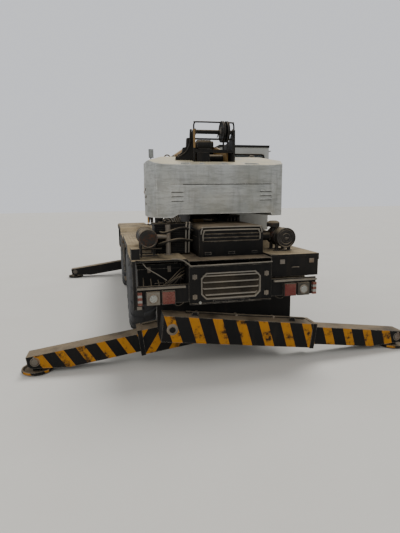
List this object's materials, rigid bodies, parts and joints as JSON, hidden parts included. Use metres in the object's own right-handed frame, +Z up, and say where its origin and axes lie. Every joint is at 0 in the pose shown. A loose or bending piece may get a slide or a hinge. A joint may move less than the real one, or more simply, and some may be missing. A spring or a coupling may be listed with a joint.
{
  "type": "two-axle rough-terrain mobile crane",
  "caption": "Old rough-terrain mobile crane: striped X outriggers, grey counterweight, side cab and a telescopic boom that slews, lifts and extends.",
  "frame": {"origin": "on the ground under the middle of the whole machine's box", "axes": "+Y the way the crane drives, +X its right side, +Z up"},
  "size_m": [5.5892, 11.005, 3.3626],
  "materials": {
    "carrier_paint": "dusty near-black paint, chipped and rusting at edges",
    "deck_paint": "dark deck paint under pale dust",
    "grille_paint": "worn light bars over dark louvres",
    "engine_casting": "oily, rusty casting",
    "drum_paint": "sooty dark paint with rust",
    "lamp_plastic": "red and clear ribbed lenses",
    "spring_steel": "rusty black",
    "upper_paint": "faded ochre yellow paint",
    "weight_paint": "weathered grey-white paint with stains and rust",
    "guard_steel": "weathered dark steel",
    "cab_paint": "faded light grey paint",
    "cab_glass": "dusty clear glass",
    "seat_vinyl": "cracked black vinyl",
    "control_plastic": "dark grey plastic",
    "boom_paint": "faded ochre yellow paint with grease and rust",
    "rod_chrome": "polished rod, dusty",
    "hook_paint": "chipped ochre yellow paint",
    "outrigger_paint": "black with slanted orange-yellow stripes",
    "knuckle_steel": "rusty casting",
    "wheel_paint": "dusty grey paint with rust",
    "tyre_rubber": "dusty aged rubber"
  },
  "bodies": {
    "carrier": {"chassis_frame": "carrier_paint", "rear_panel": "carrier_paint", "engine_hood": "carrier_paint", "front_bumper": "carrier_paint", "outrigger_brackets": "carrier_paint", "side_tanks": "carrier_paint", "decks": "deck_paint", "rear_grille": "grille_paint", "engine": "engine_casting", "driveline": "engine_casting", "slewing_ring": "engine_casting", "axles": "engine_casting", "air_cleaner": "drum_paint", "muffler": "drum_paint", "rear_lamps": "lamp_plastic", "headlamps": "lamp_plastic", "leaf_springs": "spring_steel"},
    "knuckle_rear_left": {"knuckle_rear_left": "knuckle_steel"},
    "wheel_rear_left": {"wheel_rear_left": "wheel_paint", "tyre_rear_left": "tyre_rubber"},
    "knuckle_rear_right": {"knuckle_rear_right": "knuckle_steel"},
    "wheel_rear_right": {"wheel_rear_right": "wheel_paint", "tyre_rear_right": "tyre_rubber"},
    "knuckle_front_left": {"knuckle_front_left": "knuckle_steel"},
    "wheel_front_left": {"wheel_front_left": "wheel_paint", "tyre_front_left": "tyre_rubber"},
    "knuckle_front_right": {"knuckle_front_right": "knuckle_steel"},
    "wheel_front_right": {"wheel_front_right": "wheel_paint", "tyre_front_right": "tyre_rubber"},
    "outrigger_box_rear_left": {"outrigger_box_rear_left": "outrigger_paint"},
    "outrigger_beam_rear_left": {"outrigger_beam_rear_left": "outrigger_paint"},
    "outrigger_box_rear_right": {"outrigger_box_rear_right": "outrigger_paint"},
    "outrigger_beam_rear_right": {"outrigger_beam_rear_right": "outrigger_paint"},
    "outrigger_box_front_left": {"outrigger_box_front_left": "outrigger_paint"},
    "outrigger_beam_front_left": {"outrigger_beam_front_left": "outrigger_paint"},
    "outrigger_box_front_right": {"outrigger_box_front_right": "outrigger_paint"},
    "outrigger_beam_front_right": {"outrigger_beam_front_right": "outrigger_paint"},
    "superstructure": {"slewing_platform": "upper_paint", "counterweight": "weight_paint", "winches": "engine_casting", "tail_guard": "guard_steel", "cab_shell": "cab_paint", "cab_glass": "cab_glass", "cab_seat": "seat_vinyl", "cab_controls": "control_plastic"},
    "cab_door": {"cab_door": "cab_paint", "cab_door_glass": "cab_glass"},
    "boom_base": {"boom_base": "boom_paint"},
    "boom_section_2": {"boom_section_2": "boom_paint"},
    "boom_section_3": {"boom_section_3": "boom_paint"},
    "boom_section_4": {"boom_section_4": "boom_paint", "boom_head_sheaves": "guard_steel"},
    "hook_block": {"hook_block": "hook_paint"},
    "lift_barrel": {"lift_cylinder_barrel": "boom_paint"},
    "lift_rod": {"lift_cylinder_rod": "rod_chrome"}
  },
  "joints": [
    {"name": "steer_rear_left", "type": "hinge", "parent": "carrier", "child": "knuckle_rear_left", "pos_m": [-0.84, -3.4375, 0.745], "axis": [0, 0, 1], "range_deg": [-30, 30]},
    {"name": "roll_rear_left", "type": "hinge", "parent": "knuckle_rear_left", "child": "wheel_rear_left", "pos_m": [-1.08, -3.4375, 0.745], "axis": [1, 0, 0], "continuous": true},
    {"name": "steer_rear_right", "type": "hinge", "parent": "carrier", "child": "knuckle_rear_right", "pos_m": [0.84, -3.4375, 0.745], "axis": [0, 0, 1], "range_deg": [-30, 30]},
    {"name": "roll_rear_right", "type": "hinge", "parent": "knuckle_rear_right", "child": "wheel_rear_right", "pos_m": [1.08, -3.4375, 0.745], "axis": [1, 0, 0], "continuous": true},
    {"name": "steer_front_left", "type": "hinge", "parent": "carrier", "child": "knuckle_front_left", "pos_m": [-0.84, 0.2125, 0.745], "axis": [0, 0, 1], "range_deg": [-30, 30]},
    {"name": "roll_front_left", "type": "hinge", "parent": "knuckle_front_left", "child": "wheel_front_left", "pos_m": [-1.08, 0.2125, 0.745], "axis": [1, 0, 0], "continuous": true},
    {"name": "steer_front_right", "type": "hinge", "parent": "carrier", "child": "knuckle_front_right", "pos_m": [0.84, 0.2125, 0.745], "axis": [0, 0, 1], "range_deg": [-30, 30]},
    {"name": "roll_front_right", "type": "hinge", "parent": "knuckle_front_right", "child": "wheel_front_right", "pos_m": [1.08, 0.2125, 0.745], "axis": [1, 0, 0], "continuous": true},
    {"name": "outrigger_lift_rear_left", "type": "hinge", "parent": "carrier", "child": "outrigger_box_rear_left", "pos_m": [0.82, -4.9555, 0.585], "axis": [0, 1, 0], "range_deg": [0, 9]},
    {"name": "outrigger_extend_rear_left", "type": "slide", "parent": "outrigger_box_rear_left", "child": "outrigger_beam_rear_left", "axis": [-0.9912, 0, -0.1323], "range_m": [-1.16, 0]},
    {"name": "outrigger_lift_rear_right", "type": "hinge", "parent": "carrier", "child": "outrigger_box_rear_right", "pos_m": [-0.82, -5.2975, 0.585], "axis": [0, -1, 0], "range_deg": [0, 9]},
    {"name": "outrigger_extend_rear_right", "type": "slide", "parent": "outrigger_box_rear_right", "child": "outrigger_beam_rear_right", "axis": [0.9912, 0, -0.1323], "range_m": [-1.16, 0]},
    {"name": "outrigger_lift_front_left", "type": "hinge", "parent": "carrier", "child": "outrigger_box_front_left", "pos_m": [0.82, 1.7345, 0.585], "axis": [0, 1, 0], "range_deg": [0, 9]},
    {"name": "outrigger_extend_front_left", "type": "slide", "parent": "outrigger_box_front_left", "child": "outrigger_beam_front_left", "axis": [-0.9912, 0, -0.1323], "range_m": [-1.16, 0]},
    {"name": "outrigger_lift_front_right", "type": "hinge", "parent": "carrier", "child": "outrigger_box_front_right", "pos_m": [-0.82, 1.3925, 0.585], "axis": [0, -1, 0], "range_deg": [0, 9]},
    {"name": "outrigger_extend_front_right", "type": "slide", "parent": "outrigger_box_front_right", "child": "outrigger_beam_front_right", "axis": [0.9912, 0, -0.1323], "range_m": [-1.16, 0]},
    {"name": "slew", "type": "hinge", "parent": "carrier", "child": "superstructure", "pos_m": [0, -1.9875, 1.56], "axis": [0, 0, 1], "continuous": true},
    {"name": "cab_door_slide", "type": "slide", "parent": "superstructure", "child": "cab_door", "axis": [0, -1, 0], "range_m": [0, 0.56]},
    {"name": "boom_lift", "type": "hinge", "parent": "superstructure", "child": "boom_base", "pos_m": [0, -4.1875, 2.87], "axis": [1, 0, 0], "range_deg": [0, 82]},
    {"name": "telescope_2", "type": "slide", "parent": "boom_base", "child": "boom_section_2", "axis": [0, 1, 0], "range_m": [0, 6.8]},
    {"name": "telescope_3", "type": "slide", "parent": "boom_section_2", "child": "boom_section_3", "axis": [0, 1, 0], "range_m": [0, 6.8]},
    {"name": "telescope_4", "type": "slide", "parent": "boom_section_3", "child": "boom_section_4", "axis": [0, 1, 0], "range_m": [0, 6.8]},
    {"name": "hook_hang", "type": "hinge", "parent": "boom_section_4", "child": "hook_block", "pos_m": [0, 5.3125, 2.49], "axis": [1, 0, 0], "range_deg": [-82, 0]},
    {"name": "lift_barrel_swing", "type": "hinge", "parent": "superstructure", "child": "lift_barrel", "pos_m": [0, -3.2875, 1.83], "axis": [1, 0, 0], "range_deg": [0, 74.31]},
    {"name": "lift_rod_slide", "type": "slide", "parent": "lift_barrel", "child": "lift_rod", "axis": [0, 0.9566, 0.2915], "range_m": [0, 1.76082]}
  ],
  "couplings": [
    {"joint": "steer_rear_right", "follows": "steer_rear_left", "ratio": 1},
    {"joint": "steer_front_right", "follows": "steer_front_left", "ratio": 1},
    {"joint": "telescope_3", "follows": "telescope_2", "ratio": 1},
    {"joint": "telescope_4", "follows": "telescope_2", "ratio": 1},
    {"joint": "hook_hang", "follows": "boom_lift", "ratio": -1},
    {"joint": "lift_barrel_swing", "follows": "boom_lift", "ratio": 0.90612},
    {"joint": "lift_rod_slide", "follows": "boom_lift", "m_per_rad": 1.2303}
  ]
}
